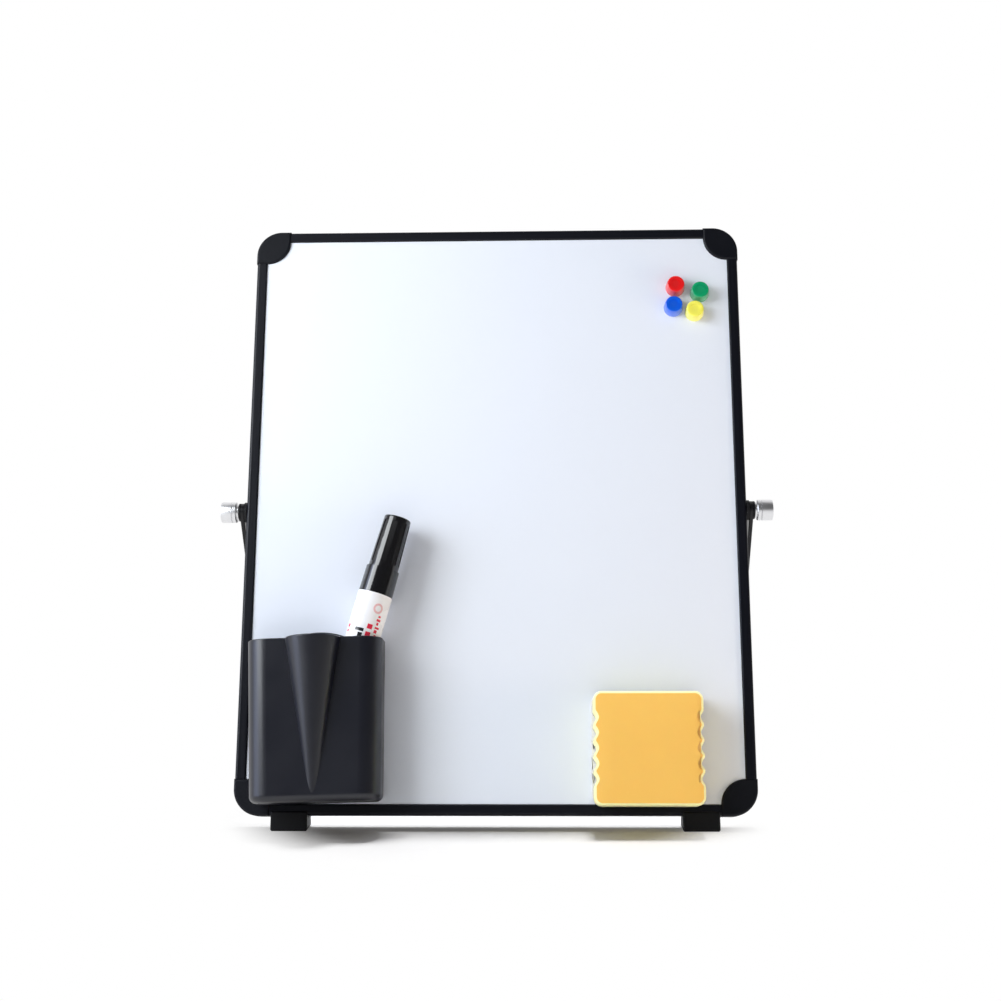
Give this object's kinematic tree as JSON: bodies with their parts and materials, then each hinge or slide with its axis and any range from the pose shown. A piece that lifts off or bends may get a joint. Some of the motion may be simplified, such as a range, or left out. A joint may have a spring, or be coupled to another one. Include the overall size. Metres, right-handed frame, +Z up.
{
  "type": "desk whiteboard easel",
  "caption": "Small framed magnetic dry-wipe board on a swinging U-shaped stand, with a magnetic pen cup, capped marker, foam eraser and coloured round magnets.",
  "frame": {"origin": "middle of the footprint box, on the desk", "axes": "+Z up, +X to the writer's right when facing the writing side, and the writing side faces -Y"},
  "size_m": [0.2766, 0.16, 0.2984],
  "materials": {
    "white_lacquer": "gloss white dry-wipe lacquer on sheet steel",
    "fibreboard": "pressed fibreboard",
    "frame_black": "black powder-coated extrusion",
    "moulded_black": "fine-grained black moulding",
    "bar_black": "semi-matt black paint on a steel bar",
    "sleeve_rubber": "matt black rubber",
    "bolt_steel": "zinc-plated steel",
    "nylon": "black nylon",
    "brass": "plain brass",
    "knob_metal": "bright turned aluminium",
    "cup_black": "matt black moulding",
    "magnet_strip": "ferrite-filled rubber strip",
    "marker_white": "gloss white moulding",
    "marker_black": "gloss black moulding",
    "ink_fibre": "ink-soaked polyester fibre",
    "eraser_foam": "closed-cell foam",
    "eraser_felt": "pressed white felt",
    "magnet_red": "translucent gloss moulding",
    "magnet_green": "translucent gloss moulding",
    "magnet_blue": "translucent gloss moulding",
    "magnet_yellow": "translucent gloss moulding",
    "ferrite": "sintered ferrite"
  },
  "bodies": {
    "board": {"board_core": "fibreboard", "writing_sheet_front": "white_lacquer", "writing_sheet_back": "white_lacquer", "frame_rail_bottom": "frame_black", "frame_rail_top": "frame_black", "frame_rail_left": "frame_black", "frame_rail_right": "frame_black", "corner_cap_bottom_left": "moulded_black", "corner_cap_bottom_right": "moulded_black", "corner_cap_top_left": "moulded_black", "corner_cap_top_right": "moulded_black", "front_foot_left": "moulded_black", "front_foot_right": "moulded_black", "pivot_bolt_left": "bolt_steel", "pivot_bolt_right": "bolt_steel", "pivot_spacer_left": "nylon", "pivot_spacer_right": "nylon"},
    "stand": {"stand_bow": "bar_black", "stand_sleeve_left": "sleeve_rubber", "stand_sleeve_right": "sleeve_rubber"},
    "knob_left": {"knob_left": "knob_metal", "knob_insert_left": "brass", "knob_washer_left": "nylon"},
    "knob_right": {"knob_right": "knob_metal", "knob_insert_right": "brass", "knob_washer_right": "nylon"},
    "pen_cup": {"pen_cup": "cup_black", "cup_magnets": "magnet_strip"},
    "marker": {"marker_barrel": "marker_white", "marker_end_plug": "marker_black", "marker_ink_reservoir": "ink_fibre", "marker_neck": "marker_black", "marker_nib": "ink_fibre"},
    "marker_cap": {"marker_cap": "marker_black"},
    "eraser": {"eraser_foam": "eraser_foam", "eraser_magnet_sheet": "magnet_strip", "eraser_felt": "eraser_felt"},
    "magnet_red": {"magnet_red_button": "magnet_red", "magnet_red_disc": "ferrite"},
    "magnet_green": {"magnet_green_button": "magnet_green", "magnet_green_disc": "ferrite"},
    "magnet_blue": {"magnet_blue_button": "magnet_blue", "magnet_blue_disc": "ferrite"},
    "magnet_yellow": {"magnet_yellow_button": "magnet_yellow", "magnet_yellow_disc": "ferrite"}
  },
  "joints": [
    {"name": "stand_swing", "type": "hinge", "parent": "board", "child": "stand", "pos_m": [0, -0.01746, 0.15154], "axis": [1, 0, 0], "continuous": true},
    {"name": "knob_left_turn", "type": "hinge", "parent": "board", "child": "knob_left", "pos_m": [-0.134, -0.01746, 0.15154], "axis": [1, 0, 0], "continuous": true},
    {"name": "knob_right_turn", "type": "hinge", "parent": "board", "child": "knob_right", "pos_m": [0.134, -0.01746, 0.15154], "axis": [1, 0, 0], "continuous": true},
    {"name": "pen_cup_lift", "type": "slide", "parent": "board", "child": "pen_cup", "axis": [0, -0.9703, 0.2419], "range_m": [0, 0.05]},
    {"name": "marker_draw", "type": "slide", "parent": "pen_cup", "child": "marker", "axis": [0.2622, 0.2335, 0.9364], "range_m": [0, 0.08]},
    {"name": "marker_cap_pull", "type": "slide", "parent": "marker", "child": "marker_cap", "axis": [0.2622, 0.2335, 0.9364], "range_m": [0, 0.03]},
    {"name": "eraser_lift", "type": "slide", "parent": "board", "child": "eraser", "axis": [0, -0.9703, 0.2419], "range_m": [0, 0.04]},
    {"name": "magnet_red_lift", "type": "slide", "parent": "board", "child": "magnet_red", "axis": [0, -0.9703, 0.2419], "range_m": [0, 0.02]},
    {"name": "magnet_green_lift", "type": "slide", "parent": "board", "child": "magnet_green", "axis": [0, -0.9703, 0.2419], "range_m": [0, 0.02]},
    {"name": "magnet_blue_lift", "type": "slide", "parent": "board", "child": "magnet_blue", "axis": [0, -0.9703, 0.2419], "range_m": [0, 0.02]},
    {"name": "magnet_yellow_lift", "type": "slide", "parent": "board", "child": "magnet_yellow", "axis": [0, -0.9703, 0.2419], "range_m": [0, 0.02]}
  ]
}
